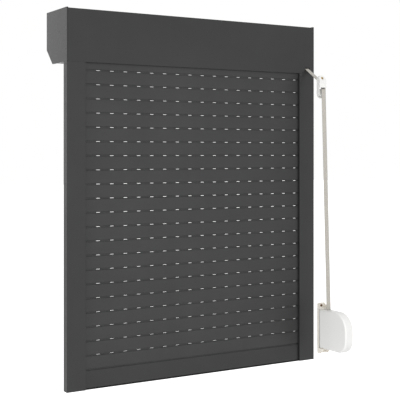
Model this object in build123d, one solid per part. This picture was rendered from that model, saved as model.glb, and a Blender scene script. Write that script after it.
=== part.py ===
from build123d import *
import math
import os

# Exterior roller shutter worked by a strap, seen from the room.
# X runs along the box, -Y points into the room, Z is up.
# The origin is the centre of the box's back face, which lies on the window frame.

# Overall size
overall_width = 800.0
overall_height = 1000.0
box_size = 137.0
box_chamfer = 39.0

# Sheet metal of the box
sheet = 1.2
sheet_gap = 0.1
hem = 4.0
hem_end_gap = 16.0
cover_tab = 8.0
curtain_gap = 22.0

# Cast end caps
cap_plate = 4.0
cap_proud = 2.2
cap_rim_depth = 10.0
cap_rim_wall = 2.0
cap_edge_radius = 1.5
cap_boss_wall = 3.0
cap_boss_depth = 6.0
lug_length = 45.0
lug_base = 4.7
lug_width = 20.0

# Guide rails
rail_width = 53.0
rail_depth = 22.0
rail_wall = 1.4
channel_width = 12.0
channel_reach = 16.5
channel_offset = 5.0
brush_depth = 13.0
brush_room = 1.2
brush_outer = 1.7
plug_length = 10.0
chamber_gap = 0.2

# Inlet funnels on the rails
funnel_length = 27.0
funnel_height = 10.0
funnel_wall = 1.6
funnel_flare = 1.2

# Curtain
slat_count = 22
slat_pitch = 37.5
slat_thickness = 8.5
slat_offset = 6.5
slat_crown = 0.45
slat_wall = 1.0
slat_edge_radius = 1.2
slat_end_play = 1.5
slot_gap = 4.0
first_slat_drop = 17.8
neck_thickness = 3.2
head_thickness = 5.2
head_height = 3.0
lip_thickness = 1.2
lip_gap = 3.8
receiver_depth = 9.5
receiver_width = 6.3
hang_gap = 0.2

# Light slots in the necks
light_slot_pitch = 40.15
light_slot_length = 12.0
light_slot_height = 1.2
light_slot_start = 40.2
light_slot_margin = 8.0

# Bottom bar
bar_height = 46.2
bar_seam = 4.0
seal_height = 4.0
seal_thickness = 5.0
seal_head_width = 4.4
seal_head_height = 2.0
seal_neck = 2.0
seal_play = 0.1
end_plug_depth = 12.0
end_plug_head = 1.2
stop_radius = 8.0
stop_length = 16.0
stop_tip_radius = 5.5
stop_drop = 14.0
stop_inset = 150.0
stop_pin_radius = 2.5
stop_clearance = 0.6

# Shaft and bearings
shaft_flats = 40.0
shaft_wall = 1.0
shaft_sides = 8
shaft_end_gap = 32.0
plug_insert = 34.0
plug_flange = 2.0
plug_play = 0.15
pin_radius = 6.0
bearing_radius = 14.0
bearing_width = 8.0
bearing_seal_depth = 0.6
bearing_ring = 2.2
holder_wall = 5.0
fit_play = 0.05

# Strap and its pulley
strap_width = 14.0
strap_thickness = 1.2
strap_from_end = 24.0
strap_play = 0.6
layer_gap = 0.45
body_gap = 0.3
pulley_core_below_box = 30.5
pulley_flange_below_box = 16.5
pulley_flange = 1.8
pulley_half_turns = 9
outlet_lip_radius = 3.0
outlet_lip_in = 4.0
outlet_lip_above_floor = 8.8
outlet_depth = 7.6
outlet_wall = 2.2
outlet_slot_height = 4.0
slit_height = 8.8
slit_half_width = 8.6
slit_rise = 0.4

# Strap guide on the wall
wall_offset = 65.0
guide_width = 25.0
guide_off_strap = 3.0
guide_height = 67.0
guide_plate_thickness = 2.5
guide_depth = 15.2
guide_wall = 1.5
guide_centre_drop = 114.3
guide_hole_spacing = 50.0
guide_hole_radius = 2.0
guide_head_radius = 4.2
guide_head_seat = 8.0
guide_window_half = 8.2
guide_cheek_setback = 4.0
guide_window_top = 16.5
guide_window_bottom = 4.5
guide_slot_drop = 2.0
guide_top_depth = 3.5
guide_slope_drop = 16.0
guide_foot_radius = 12.0
roller_radius = 5.0
roller_half_length = 7.3
roller_off_wall = 6.3
roller_drop = 111.5
guide_axle_radius = 1.5

# Swivel winder
winder_drop = 821.8
winder_height = 113.5
winder_depth = 127.0
winder_thickness = 28.0
winder_wall = 1.8
winder_back_gap = 4.0
winder_corner_radius = 50.0
winder_foot_radius = 38.0
winder_back_radius = 11.0
winder_edge_radius = 5.0
winder_plate_height = 147.0
winder_plate_width = 27.0
winder_plate_thickness = 2.0
winder_hole_spacing = 131.0
winder_hole_radius = 2.25
swivel_off_wall = 17.0
swivel_pin_radius = 2.5
swivel_pin_reach = 4.0
bracket_wall = 1.8
bracket_floor = 3.0
bracket_reach = 8.0
bracket_top_rise = 13.0
bracket_foot_reach = 31.0
bracket_foot_flat = 16.0
bracket_play = 0.5
mouth_depth = 12.0
mouth_half_width = 9.5
spool_off_back = 67.3
spool_core_radius = 27.0
spool_wall = 1.5
spool_flange = 1.8
spool_flange_radius = 46.0
spool_half_turns = 5
spool_hub_radius = 7.0
spool_side_play = 0.8
winder_axle_radius = 4.0
axle_boss_radius = 7.0
spring_thickness = 0.5
spring_width = 11.0
spring_pitch = 1.9
spring_half_turns = 17
shell_screw_radius = 1.5
shell_screw_head_radius = 2.8
shell_screw_head = 1.5
shell_boss_radius = 3.5
shell_boss_back = 21.0
shell_boss_front = 7.5
shell_boss_drop = 7.2

# Small fasteners of the box
cover_screw_radius = 1.6
cover_screw_head_radius = 3.2
cover_screw_head = 1.6
cover_screw_length = 7.0
cover_boss_radius = 4.0
cover_boss_height = 6.0
cover_screw_place_shares = (0.30, 0.60)

# Suspension springs
hanger_thickness = 0.6
hanger_width = 20.0
hanger_place_shares = (-0.7, 0.0, 0.7)

# Cuts run past the face they start from by this much
overrun = 1.0

# Values that follow from the ones above
half_width = overall_width / 2
half_box = box_size / 2
cap_top = half_box + cap_proud
cap_bottom = -cap_top
panel_half = half_width - cap_plate
rail_top = cap_bottom
rail_bottom = cap_top - overall_height
rail_inner = half_width - rail_width
channel_end = rail_inner + channel_reach
channel_floor = channel_end + rail_wall
shaft_y = half_box
pulley_core_radius = half_box - pulley_core_below_box
pulley_flange_radius = half_box - pulley_flange_below_box
slat_half = channel_end - slat_end_play
slat_mid_y = slat_offset + slat_thickness / 2
slat_body = slat_pitch - slot_gap
slat_1_bottom = cap_bottom - first_slat_drop
bar_top = slat_1_bottom - (slat_count - 1) * slat_pitch - bar_seam
bar_bottom = bar_top - bar_height
strap_x = half_width - strap_from_end
strap_half = strap_width / 2
guide_x = strap_x - guide_off_strap
lift = (-half_box - stop_clearance) - (bar_top - stop_drop + stop_radius)
wall_y = -wall_offset
roller_y = wall_y - roller_off_wall
winder_back = wall_y - winder_back_gap
winder_front = winder_back - winder_depth
winder_top = -winder_drop + winder_height / 2
winder_bottom = -winder_drop - winder_height / 2
swivel_y = wall_y - swivel_off_wall

os.makedirs("parts", exist_ok=True)


def write(shape, node):
    """Write one sub-part under its node name."""
    export_step(shape, "parts/" + node + ".step")


def block(x0, x1, y0, y1, z0, z1):
    """Box between two corners."""
    size = (x1 - x0, y1 - y0, z1 - z0)
    centre = ((x0 + x1) / 2, (y0 + y1) / 2, (z0 + z1) / 2)
    return Pos(*centre) * Box(*size)


def rod_x(radius, x0, x1, y, z):
    """Round bar along X."""
    return Pos((x0 + x1) / 2, y, z) * Rot(0, 90, 0) * Cylinder(radius, x1 - x0)


def rod_y(radius, y0, y1, x, z):
    """Round bar along Y."""
    return Pos(x, (y0 + y1) / 2, z) * Rot(90, 0, 0) * Cylinder(radius, y1 - y0)


def rod_z(radius, z0, z1, x, y):
    """Round bar along Z."""
    return Pos(x, y, (z0 + z1) / 2) * Cylinder(radius, z1 - z0)


def ring_x(outer, inner, x0, x1, y, z):
    """Ring about X."""
    hole = rod_x(inner, x0 - overrun, x1 + overrun, y, z)
    return rod_x(outer, x0, x1, y, z) - hole


def side_prism(points, x0, x1):
    """Outline of (y, z) points run along X."""
    face = Plane.YZ.offset(x0) * make_face(Polyline(*points, close=True))
    return extrude(face, x1 - x0)


def mirrored(shape):
    """The same piece at the other end of the box."""
    return mirror(shape, Plane.YZ)


# Strips of even thickness along lines and arcs that lie in a plane of y and z
def stretch_edge(stretch, shift):
    """Edge of one stretch, moved to its left by shift.

    A stretch is ("line", start, end) or ("arc", centre, radius, from angle, to angle) in radians.
    """
    if stretch[0] == "line":
        (y0, z0), (y1, z1) = stretch[1], stretch[2]
        length = math.hypot(y1 - y0, z1 - z0)
        left = (-(z1 - z0) / length * shift, (y1 - y0) / length * shift)
        return Line((y0 + left[0], z0 + left[1]), (y1 + left[0], z1 + left[1]))
    centre, radius, start, end = stretch[1:]
    reach = radius - shift if end > start else radius + shift
    angles = (start, (start + end) / 2, end)
    ends = [(centre[0] + reach * math.cos(a), centre[1] + reach * math.sin(a)) for a in angles]
    return ThreePointArc(*ends)


def ribbon(route, thickness, x0, x1):
    """Strip of even thickness along a route."""
    left = [stretch_edge(stretch, thickness / 2) for stretch in route]
    right = [stretch_edge(stretch, -thickness / 2) for stretch in route]
    start = Line(left[0] @ 0, right[0] @ 0)
    end = Line(left[-1] @ 1, right[-1] @ 1)
    face = make_face(Wire([start, *left, end, *right]))
    return extrude(Plane.YZ.offset(x0) * face, x1 - x0)


def tangent(centre_a, radius_a, side_a, centre_b, radius_b, side_b):
    """Line that leaves circle a and meets circle b; side is 1 where the centre is on the left."""
    dy = centre_b[0] - centre_a[0]
    dz = centre_b[1] - centre_a[1]
    offset = side_b * radius_b - side_a * radius_a
    run = math.sqrt(dy * dy + dz * dz - offset * offset)
    heading = math.atan2(dz, dy) - math.atan2(offset, run)
    left = (-math.sin(heading), math.cos(heading))
    start = (centre_a[0] - side_a * radius_a * left[0], centre_a[1] - side_a * radius_a * left[1])
    end = (centre_b[0] - side_b * radius_b * left[0], centre_b[1] - side_b * radius_b * left[1])
    return heading, start, end


def spiral(centre, first_radius, pitch, half_turns, start_angle):
    """Route of half circles that grow by one pitch each turn."""
    route = []
    for turn in range(half_turns):
        shift = (turn % 2) * pitch / 2
        middle = (centre[0] - shift * math.cos(start_angle), centre[1] - shift * math.sin(start_angle))
        radius = first_radius + turn * pitch / 2
        begin = start_angle + math.pi * (turn + 1)
        route.append(("arc", middle, radius, begin, begin + math.pi))
    return route


# End caps: a cast plate with a rim inside the panels, a bearing seat and a lug that stands in the rail
def cap_outline(inset):
    """Side outline of the end cap, drawn in by inset, but flush at the back."""
    proud = cap_proud - inset
    knee = proud * math.tan(math.pi / 8)
    rear = max(-proud, 0)
    side = half_box + proud
    front = box_size + proud
    return [
        (rear, side),
        (front, side),
        (front, -half_box + box_chamfer - knee),
        (box_size - box_chamfer + knee, -side),
        (rear, -side),
    ]


def end_cap():
    """Right end cap."""
    rim_out = panel_half - cap_rim_depth
    outer = cap_proud + sheet + sheet_gap
    inner = outer + cap_rim_wall
    plate = side_prism(cap_outline(0), panel_half, half_width)
    plate = fillet(plate.edges().filter_by(Axis.X), cap_edge_radius)
    rim = side_prism(cap_outline(outer), rim_out, panel_half + overrun)
    rim -= side_prism(cap_outline(inner), rim_out - overrun, panel_half)
    seat_in = panel_half - cap_boss_depth
    seat_bore = bearing_radius + holder_wall + fit_play
    seat = rod_x(seat_bore + cap_boss_wall, seat_in, panel_half + overrun, shaft_y, 0)
    seat -= rod_x(seat_bore, seat_in - overrun, panel_half, shaft_y, 0)
    lug_in = half_width - rail_wall - chamber_gap - lug_width
    lug = block(
        lug_in,
        half_width - rail_wall - chamber_gap,
        rail_wall + chamber_gap,
        rail_depth - rail_wall - chamber_gap,
        rail_top - lug_length,
        rail_top + lug_base,
    )
    cap = plate + rim + seat + lug
    for y in cover_screw_places():
        boss_low = -half_box + sheet + sheet_gap
        x = panel_half - cap_rim_depth / 2
        cap += rod_z(cover_boss_radius, boss_low, boss_low + cover_boss_height, x, y)
        cap -= rod_z(cover_screw_radius, boss_low - overrun, boss_low + cover_boss_height + overrun, x, y)
    return cap


def cover_screw_places():
    """Depths of the cover screws."""
    flat = box_size - box_chamfer
    return [curtain_gap + (flat - curtain_gap) * share for share in cover_screw_place_shares]


# Box panels
def rear_panel():
    """Panel towards the room, hemmed top and bottom, with the strap's slit."""
    top = half_box - sheet - sheet_gap
    hem_half = panel_half - hem_end_gap
    low_half = rail_inner - chamber_gap
    panel = block(-panel_half, panel_half, 0, sheet, cap_bottom, top)
    panel += block(-hem_half, hem_half, 0, hem + sheet, top - sheet, top)
    panel += block(-low_half, low_half, 0, hem, cap_bottom, cap_bottom + sheet)
    middle = slit_middle()
    slit = block(
        strap_x - slit_half_width,
        strap_x + slit_half_width,
        -overrun,
        sheet + overrun,
        middle - slit_height / 2,
        middle + slit_height / 2,
    )
    return panel - slit


def slit_middle():
    """Height at which the strap crosses the rear panel."""
    return route_height(0) + slit_rise


def top_front_panel():
    """Top and outer face of the box in one bent sheet."""
    top = half_box
    front = box_size
    panel = block(-panel_half, panel_half, 0, front, top - sheet, top)
    panel += block(-panel_half, panel_half, front - sheet, front, -top + box_chamfer, top)
    hem_half = panel_half - hem_end_gap
    panel += block(-hem_half, hem_half, front - hem, front, -top + box_chamfer, -top + box_chamfer + sheet)
    return panel


def chamfer_height(y, inset):
    """Height of the chamfer at depth y, inset from its outer face."""
    return y - box_size - half_box + box_chamfer + inset * math.sqrt(2)


def box_cover():
    """Inspection cover: chamfer and underside, with a tab behind the outer panel."""
    low = -half_box
    flat_end = box_size - box_chamfer
    inner_end = flat_end - sheet * math.tan(math.pi / 8)
    tip_y = box_size - sheet_gap
    tip_z = chamfer_height(tip_y, 0)
    points = [
        (curtain_gap, low),
        (flat_end, low),
        (tip_y, tip_z),
        (tip_y - sheet * math.sqrt(2), tip_z),
        (inner_end, low + sheet),
        (curtain_gap, low + sheet),
    ]
    cover = side_prism(points, -panel_half, panel_half)
    hem_half = panel_half - hem_end_gap
    cover += block(-hem_half, hem_half, curtain_gap, curtain_gap + sheet, low, low + hem)
    tab_y = box_size - hem - sheet_gap
    tab_top = low + box_chamfer + cover_tab
    tab = [
        (tab_y, chamfer_height(tab_y, sheet / 2)),
        (tab_y, tab_top),
        (tab_y - sheet, tab_top),
        (tab_y - sheet, chamfer_height(tab_y - sheet, sheet / 2)),
    ]
    cover += side_prism(tab, -hem_half, hem_half)
    for y in cover_screw_places():
        for x in (-panel_half + cap_rim_depth / 2, panel_half - cap_rim_depth / 2):
            cover -= rod_z(cover_screw_radius + fit_play, low - overrun, low + sheet + overrun, x, y)
    return cover


def cover_screws():
    """Screws that hold the cover to the end caps."""
    low = -half_box
    screws = []
    for y in cover_screw_places():
        for x in (-panel_half + cap_rim_depth / 2, panel_half - cap_rim_depth / 2):
            head = rod_z(cover_screw_head_radius, low - cover_screw_head, low, x, y)
            shank = rod_z(cover_screw_radius, low - cover_screw_head / 2, low + cover_screw_length, x, y)
            screws.append(head + shank)
    return Compound(children=screws)


# Guide rails, their brushes, foot plugs and inlet funnels
def rail():
    """Right rail: hollow section with the curtain's channel on its inner side."""
    section = block(rail_inner, half_width, 0, rail_depth, rail_bottom, rail_top)
    section -= block(
        rail_inner + rail_wall,
        half_width - rail_wall,
        rail_wall,
        rail_depth - rail_wall,
        rail_bottom - overrun,
        rail_top + overrun,
    )
    section += block(
        rail_inner,
        channel_floor,
        channel_offset - rail_wall,
        channel_offset + channel_width + rail_wall,
        rail_bottom,
        rail_top,
    )
    section -= block(
        rail_inner - overrun,
        channel_end,
        channel_offset,
        channel_offset + channel_width,
        rail_bottom - overrun,
        rail_top + overrun,
    )
    return section


def brush_pair():
    """Brush strips of the right rail, one on each side of the curtain."""
    deep = rail_inner + brush_depth
    start = rail_inner + rail_wall
    room = block(start, deep, channel_offset, channel_offset + brush_room, rail_bottom, rail_top)
    outer_face = channel_offset + channel_width
    outer = block(start, deep, outer_face - brush_outer, outer_face, rail_bottom, rail_top)
    return [room, outer]


def foot_plug():
    """Plug in the foot of the right rail."""
    gap = chamber_gap
    return block(
        channel_floor + gap,
        half_width - rail_wall - gap,
        rail_wall + gap,
        rail_depth - rail_wall - gap,
        rail_bottom,
        rail_bottom + plug_length,
    )


def inlet_funnel():
    """Funnel that leads the curtain into the right rail."""
    room = sheet + chamber_gap
    outer = rail_depth - room
    end = rail_inner + funnel_length
    flange_top = -half_box
    piece = block(rail_inner, end, room, outer, rail_top, flange_top)
    neck_room = channel_offset - funnel_wall
    neck_outer = channel_offset + channel_width + funnel_wall
    neck_end = channel_end + funnel_wall
    piece += block(rail_inner, neck_end, neck_room, neck_outer, rail_top, flange_top + funnel_height)
    top = flange_top + funnel_height
    slot = side_prism(
        [
            (channel_offset, rail_top - overrun),
            (channel_offset + channel_width, rail_top - overrun),
            (channel_offset + channel_width, flange_top),
            (channel_offset + channel_width + funnel_flare, top + overrun),
            (channel_offset - funnel_flare, top + overrun),
            (channel_offset, flange_top),
        ],
        rail_inner - overrun,
        channel_end,
    )
    return piece - slot


# Curtain: slats that hang in each other, with light slots in their necks
def slat_blank(bottom, body, cavity, joint_gap):
    """Hollow slat section with a neck and head that reach over joint_gap into the slat above."""
    y0 = slat_offset
    y1 = slat_offset + slat_thickness
    top = bottom + body
    middle = bottom + body / 2
    r = slat_edge_radius
    room_face = ThreePointArc((y0 + slat_crown, bottom + r), (y0, middle), (y0 + slat_crown, top - r))
    outer_face = ThreePointArc((y1 - slat_crown, top - r), (y1, middle), (y1 - slat_crown, bottom + r))
    outline = [
        room_face,
        RadiusArc((y0 + slat_crown, top - r), (y0 + slat_crown + r, top), r),
        Line((y0 + slat_crown + r, top), (y1 - slat_crown - r, top)),
        RadiusArc((y1 - slat_crown - r, top), (y1 - slat_crown, top - r), r),
        outer_face,
        RadiusArc((y1 - slat_crown, bottom + r), (y1 - slat_crown - r, bottom), r),
        Line((y1 - slat_crown - r, bottom), (y0 + slat_crown + r, bottom)),
        RadiusArc((y0 + slat_crown + r, bottom), (y0 + slat_crown, bottom + r), r),
    ]
    solid = extrude(Plane.YZ.offset(-slat_half) * make_face(Wire(outline)), 2 * slat_half)
    past = slat_half + overrun
    hollow_inset = slat_crown + slat_wall
    hollow_low = bottom + cavity + slat_wall
    solid -= block(-past, past, y0 + hollow_inset, y1 - hollow_inset, hollow_low, top - slat_wall)
    neck_top = top + joint_gap + lip_thickness + hang_gap
    neck = block(
        -slat_half,
        slat_half,
        slat_mid_y - neck_thickness / 2,
        slat_mid_y + neck_thickness / 2,
        top - slat_wall / 2,
        neck_top + head_height / 2,
    )
    head = block(
        -slat_half,
        slat_half,
        slat_mid_y - head_thickness / 2,
        slat_mid_y + head_thickness / 2,
        neck_top,
        neck_top + head_height,
    )
    return solid + neck + head


def slat():
    """First slat, with its receiver open below."""
    bottom = slat_1_bottom
    solid = slat_blank(bottom, slat_body, receiver_depth, slot_gap)
    past = slat_half + overrun
    solid -= block(
        -past,
        past,
        slat_mid_y - receiver_width / 2,
        slat_mid_y + receiver_width / 2,
        bottom + lip_thickness,
        bottom + receiver_depth,
    )
    solid -= block(
        -past,
        past,
        slat_mid_y - lip_gap / 2,
        slat_mid_y + lip_gap / 2,
        bottom - overrun,
        bottom + lip_thickness + overrun,
    )
    slot_z = bottom + slat_body + slot_gap / 2
    for x in light_slot_places():
        solid -= light_slot(x, slot_z)
    return solid


def light_slot_places():
    """Middles of the light slots, as many as fit between the rails."""
    first = -rail_inner + light_slot_start
    row = rail_inner - light_slot_margin - first
    return [first + number * light_slot_pitch for number in range(int(row / light_slot_pitch) + 1)]


def light_slot(x, z):
    """Cutter for one light slot, with round ends."""
    r = light_slot_height / 2
    half = light_slot_length / 2 - r
    y0 = slat_mid_y - neck_thickness
    y1 = slat_mid_y + neck_thickness
    cutter = block(x - half, x + half, y0, y1, z - r, z + r)
    cutter += rod_y(r, y0, y1, x - half, z)
    cutter += rod_y(r, y0, y1, x + half, z)
    return cutter


def bottom_bar():
    """Closing bar with a groove for the seal."""
    bar = slat_blank(bar_bottom, bar_height, seal_head_height + slat_wall, bar_seam)
    past = slat_half + overrun
    groove_top = bar_bottom + slat_wall + seal_head_height + 2 * seal_play
    head_half = seal_head_width / 2 + seal_play
    bar -= block(
        -past,
        past,
        slat_mid_y - head_half,
        slat_mid_y + head_half,
        bar_bottom + slat_wall,
        groove_top,
    )
    neck_half = seal_neck / 2 + seal_play
    bar -= block(
        -past,
        past,
        slat_mid_y - neck_half,
        slat_mid_y + neck_half,
        bar_bottom - overrun,
        bar_bottom + slat_wall + overrun,
    )
    for x in stop_places():
        y1 = slat_offset + slat_thickness
        bar -= rod_y(stop_pin_radius + fit_play, slat_mid_y, y1 + overrun, x, bar_top - stop_drop)
    return bar


def stop_places():
    """Places of the two stops along the bar."""
    return (-half_width + stop_inset, half_width - stop_inset)


def bottom_seal():
    """Rubber seal hung in the bar's groove."""
    head_low = bar_bottom + slat_wall + seal_play
    seal = block(
        -slat_half,
        slat_half,
        slat_mid_y - seal_head_width / 2,
        slat_mid_y + seal_head_width / 2,
        head_low,
        head_low + seal_head_height,
    )
    seal += block(
        -slat_half,
        slat_half,
        slat_mid_y - seal_neck / 2,
        slat_mid_y + seal_neck / 2,
        bar_bottom - seal_play - seal_height / 2,
        head_low + seal_head_height / 2,
    )
    seal += block(
        -slat_half,
        slat_half,
        slat_mid_y - seal_thickness / 2,
        slat_mid_y + seal_thickness / 2,
        bar_bottom - seal_play - seal_height,
        bar_bottom - seal_play,
    )
    return seal


def bar_stops():
    """Rubber stops that meet the box when the curtain is up."""
    stops = []
    y1 = slat_offset + slat_thickness
    z = bar_top - stop_drop
    for x in stop_places():
        cone = Cone(stop_radius, stop_tip_radius, stop_length)
        cone = Pos(x, y1 + stop_length / 2, z) * Rot(-90, 0, 0) * cone
        pin = rod_y(stop_pin_radius, slat_mid_y + fit_play, y1 + overrun, x, z)
        stops.append(cone + pin)
    return Compound(children=stops)


def bar_end_plugs():
    """Plastic plugs in the open ends of the bar."""
    inset = slat_crown + slat_wall + seal_play
    low = bar_bottom + seal_head_height + 2 * slat_wall + seal_play
    high = bar_top - slat_wall - seal_play
    y0 = slat_offset + inset
    y1 = slat_offset + slat_thickness - inset
    right = block(slat_half - end_plug_depth, slat_half, y0, y1, low, high)
    margin = slat_crown + slat_edge_radius
    right += block(
        slat_half,
        slat_half + end_plug_head,
        slat_offset + margin,
        slat_offset + slat_thickness - margin,
        bar_bottom,
        bar_top,
    )
    return Compound(children=[right, mirrored(right)])


# Shaft: octagonal tube, plug, pulley and bearings
def octagon(flats, x0, x1):
    """Eight-sided bar along X with a flat on top."""
    face = RegularPolygon(flats / 2, shaft_sides, major_radius=False)
    return extrude(Plane.YZ.offset(x0) * Pos(shaft_y, 0) * face, x1 - x0)


def shaft_tube():
    """Tube that the curtain winds on."""
    end = panel_half - shaft_end_gap
    bore = octagon(shaft_flats - 2 * shaft_wall, -end - overrun, end + overrun)
    return octagon(shaft_flats, -end, end) - bore


def shaft_end(flange_x):
    """Insert and pin at the right end, with its flange at flange_x."""
    end = panel_half - shaft_end_gap
    insert = octagon(shaft_flats - 2 * shaft_wall - 2 * plug_play, end - plug_insert, end + plug_flange)
    flange = rod_x(shaft_flats / 2 + shaft_wall, end, flange_x, shaft_y, 0)
    pin = rod_x(pin_radius, flange_x - overrun, panel_half - fit_play, shaft_y, 0)
    return insert + flange + pin


def shaft_plug():
    """Plug in the left end of the shaft."""
    end = panel_half - shaft_end_gap
    return mirrored(shaft_end(end + plug_flange))


def strap_pulley():
    """Strap pulley on the right end of the shaft."""
    inner = strap_x - strap_half - strap_play
    outer = strap_x + strap_half + strap_play
    bearing_face = panel_half - bearing_width
    piece = shaft_end(outer + pulley_flange / 2)
    piece += rod_x(pulley_core_radius, inner - pulley_flange, outer + pulley_flange, shaft_y, 0)
    piece += rod_x(pulley_flange_radius, inner - pulley_flange, inner, shaft_y, 0)
    flange_end = min(outer + pulley_flange, bearing_face - fit_play)
    piece += rod_x(pulley_flange_radius, outer, flange_end, shaft_y, 0)
    return piece


def bearing():
    """Right bearing, a shielded ring."""
    x0 = panel_half - bearing_width
    bore = pin_radius + fit_play
    ring = ring_x(bearing_radius, bore, x0, panel_half, shaft_y, 0)
    outer = bearing_radius - bearing_ring
    inner = bore + bearing_ring
    return ring - ring_x(outer, inner, x0 - overrun, x0 + bearing_seal_depth, shaft_y, 0)


def bearing_holder():
    """Ring between the right bearing and the end cap."""
    x0 = panel_half - bearing_width
    return ring_x(bearing_radius + holder_wall, bearing_radius + fit_play, x0, panel_half, shaft_y, 0)


def suspension_springs():
    """Spring strips from the shaft to the head of the first slat."""
    corner = shaft_flats / 2 / math.cos(math.pi / shaft_sides)
    radius = corner + body_gap + hanger_thickness / 2
    head_top = slat_1_bottom + slat_body + slot_gap + lip_thickness + hang_gap + head_height
    foot = (slat_mid_y, head_top + body_gap)
    heading, start, end = tangent(foot, 0, 1, (shaft_y, 0), radius, -1)
    begin = heading + math.pi / 2
    route = [("line", start, end), ("arc", (shaft_y, 0), radius, begin, begin - math.pi / 2)]
    strips = []
    for share in hanger_place_shares:
        middle = share * slat_half
        strips.append(ribbon(route, hanger_thickness, middle - hanger_width / 2, middle + hanger_width / 2))
    return Compound(children=strips)


# Strap: from the pulley's coil through the outlet, over the guide roller and down into the winder
pulley_centre = (shaft_y, 0)
layer_pitch = strap_thickness + layer_gap
pulley_first = pulley_core_radius + body_gap + strap_thickness / 2
pulley_coil_radius = pulley_first + (pulley_half_turns - 1) * layer_pitch / 2
pulley_leave_radius = pulley_coil_radius + strap_thickness + body_gap
lip_centre = (outlet_lip_in, outlet_lip_above_floor - half_box)
lip_leave_radius = outlet_lip_radius + sheet_gap + strap_thickness / 2
roller_centre = (roller_y, -roller_drop)
roller_leave_radius = roller_radius + body_gap + strap_thickness / 2
spool_first = spool_core_radius + body_gap + strap_thickness / 2
spool_coil_radius = spool_first + (spool_half_turns - 1) * layer_pitch / 2
spool_leave_radius = spool_coil_radius + strap_thickness + body_gap
spool_centre = (winder_back - spool_off_back, -winder_drop)

pulley_turn = (pulley_centre, pulley_leave_radius, -1)
lip_turn = (lip_centre, lip_leave_radius, 1)
roller_turn = (roller_centre, roller_leave_radius, 1)
spool_turn = (spool_centre, spool_leave_radius, -1)
head_box, leave_pulley, meet_lip = tangent(*pulley_turn, *lip_turn)
head_out, leave_lip, meet_roller = tangent(*lip_turn, *roller_turn)
head_down, leave_roller, meet_spool = tangent(*roller_turn, *spool_turn)


def arc_between(centre, radius, side, heading_in, heading_out):
    """Arc stretch that turns from one heading to the next."""
    return ("arc", centre, radius, heading_in - side * math.pi / 2, heading_out - side * math.pi / 2)


def turned(heading, like):
    """The same heading, within half a turn of another."""
    while heading - like > math.pi:
        heading -= 2 * math.pi
    while heading - like < -math.pi:
        heading += 2 * math.pi
    return heading


def route_height(y):
    """Height of the strap's run between outlet and roller at depth y."""
    return leave_lip[1] + (y - leave_lip[0]) * math.tan(head_out)


def route_depth(z):
    """Depth of the strap's long run at height z."""
    return leave_roller[0] + (z - leave_roller[1]) / math.tan(head_down)


def strap():
    """The strap, from the pulley to just above the winder's mouth."""
    out = turned(head_out, head_box)
    down = turned(head_down, out)
    mouth_top = winder_top + bracket_play
    route = [
        ("line", leave_pulley, meet_lip),
        arc_between(lip_centre, lip_leave_radius, 1, head_box, out),
        ("line", leave_lip, meet_roller),
        arc_between(roller_centre, roller_leave_radius, 1, out, down),
        ("line", leave_roller, (route_depth(mouth_top), mouth_top)),
    ]
    return ribbon(route, strap_thickness, strap_x - strap_half, strap_x + strap_half)


def winder_strap():
    """The strap inside the winder, from its mouth to the spool."""
    start = (route_depth(winder_top), winder_top)
    begin = head_down + math.pi / 2
    route = [
        ("line", start, meet_spool),
        ("arc", spool_centre, spool_leave_radius, begin, begin - math.pi / 2),
    ]
    return ribbon(route, strap_thickness, strap_x - strap_half, strap_x + strap_half)


def pulley_strap_coil():
    """Turns of strap on the pulley."""
    turns = spiral(pulley_centre, pulley_first, layer_pitch, pulley_half_turns, 0)
    return ribbon(turns, strap_thickness, strap_x - strap_half, strap_x + strap_half)


def outlet_bush():
    """Bush behind the slit, with a round lip that the strap runs over."""
    half = strap_half + strap_play + outlet_wall
    slot_half = strap_half + strap_play
    y0 = sheet
    y1 = sheet + outlet_depth
    lip_top = lip_centre[1] + outlet_lip_radius
    low = lip_centre[1] - outlet_lip_radius - outlet_wall
    high = lip_top + outlet_slot_height + outlet_wall
    bush = block(strap_x - half, strap_x + half, y0, y1, low, high)
    inner = strap_x - slot_half
    outer = strap_x + slot_half
    bush -= block(inner, outer, y0 - overrun, y1 + overrun, lip_centre[1], high - outlet_wall)
    bush += rod_x(outlet_lip_radius, inner, outer, outlet_lip_in + sheet_gap, lip_centre[1])
    return bush & block(strap_x - half, strap_x + half, y0, y1, low, high)


# Strap guide on the wall: plate, hood, roller and axle
def stadium(y0, y1):
    """Round-ended plate shape of the guide."""
    r = guide_width / 2
    half = guide_height / 2 - r
    z = -guide_centre_drop
    shape = block(guide_x - r, guide_x + r, y0, y1, z - half, z + half)
    shape += rod_y(r, y0, y1, guide_x, z + half)
    shape += rod_y(r, y0, y1, guide_x, z - half)
    return shape


def guide_holes():
    """Heights of the guide's two screw holes."""
    return (-guide_centre_drop + guide_hole_spacing / 2, -guide_centre_drop - guide_hole_spacing / 2)


def guide_plate():
    """Back plate with the window that the strap comes through."""
    front = wall_y - guide_plate_thickness
    plate = stadium(front, wall_y)
    window_top = -guide_centre_drop + guide_window_top
    window_low = -roller_drop - roller_radius - guide_window_bottom
    plate -= block(
        strap_x - guide_window_half,
        strap_x + guide_window_half,
        front - overrun,
        wall_y + overrun,
        window_low,
        window_top,
    )
    for z in guide_holes():
        plate -= rod_y(guide_hole_radius, front - overrun, wall_y + overrun, guide_x, z)
    return plate


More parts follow.
